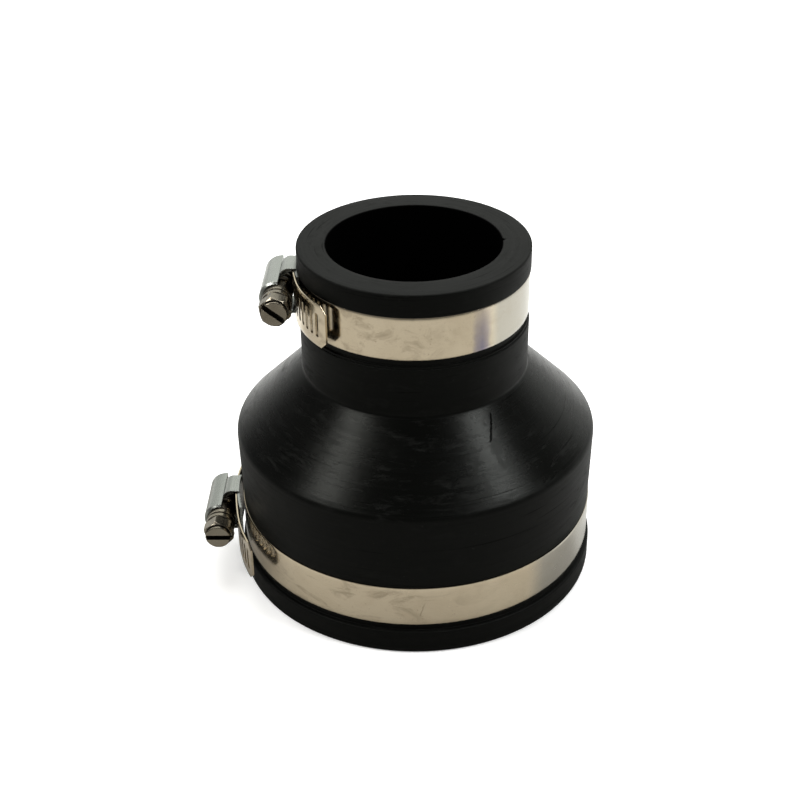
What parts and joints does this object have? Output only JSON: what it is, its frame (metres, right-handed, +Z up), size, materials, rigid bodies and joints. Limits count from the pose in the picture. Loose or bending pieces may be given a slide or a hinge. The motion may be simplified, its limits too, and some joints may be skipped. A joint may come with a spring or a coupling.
{
  "type": "pipe coupling",
  "caption": "Flexible rubber reducing coupling: round stepped sleeve with a cone between a small and a large socket, each socket held by a worm-drive band clamp.",
  "frame": {"origin": "centre of the face of the large end, on the bore axis", "axes": "+Z up along the bore, towards the small end; the screw housings are on -X and the screw heads point to -Y"},
  "size_m": [0.1156, 0.105, 0.1012],
  "materials": {
    "sleeve_rubber": "satin, softly glossy on the cone",
    "band_steel": "bright rolled stainless",
    "housing_steel": "bright pressed stainless",
    "screw_steel": "machined stainless"
  },
  "bodies": {
    "sleeve": {"coupling_sleeve": "sleeve_rubber"},
    "upper_clamp": {"upper_housing": "housing_steel", "upper_saddle": "housing_steel"},
    "upper_worm": {"upper_screw": "screw_steel"},
    "upper_hoop": {"upper_band": "band_steel"},
    "lower_clamp": {"lower_housing": "housing_steel", "lower_saddle": "housing_steel"},
    "lower_worm": {"lower_screw": "screw_steel"},
    "lower_hoop": {"lower_band": "band_steel"}
  },
  "joints": [
    {"name": "upper_clamp_turn", "type": "hinge", "parent": "sleeve", "child": "upper_clamp", "pos_m": [0, 0, 0.08815], "axis": [0, 0, 1], "continuous": true},
    {"name": "upper_screw_turn", "type": "hinge", "parent": "upper_clamp", "child": "upper_worm", "pos_m": [-0.03704, 0.00097, 0.08815], "axis": [0.0262, 0.9997, 0], "range_deg": [-720, 1080]},
    {"name": "upper_band_draw", "type": "hinge", "parent": "upper_clamp", "child": "upper_hoop", "pos_m": [0, 0, 0.08815], "axis": [0, 0, 1], "range_deg": [-8.87, 13.25]},
    {"name": "lower_clamp_turn", "type": "hinge", "parent": "sleeve", "child": "lower_clamp", "pos_m": [0, 0, 0.0158], "axis": [0, 0, 1], "continuous": true},
    {"name": "lower_screw_turn", "type": "hinge", "parent": "lower_clamp", "child": "lower_worm", "pos_m": [-0.05785, 0.00051, 0.0158], "axis": [0.0087, 1, 0], "range_deg": [-720, 1080]},
    {"name": "lower_band_draw", "type": "hinge", "parent": "lower_clamp", "child": "lower_hoop", "pos_m": [0, 0, 0.0158], "axis": [0, 0, 1], "range_deg": [-5.49, 8.19]}
  ],
  "couplings": [
    {"joint": "upper_band_draw", "follows": "upper_screw_turn", "ratio": 0.012176},
    {"joint": "lower_band_draw", "follows": "lower_screw_turn", "ratio": 0.0074862}
  ]
}
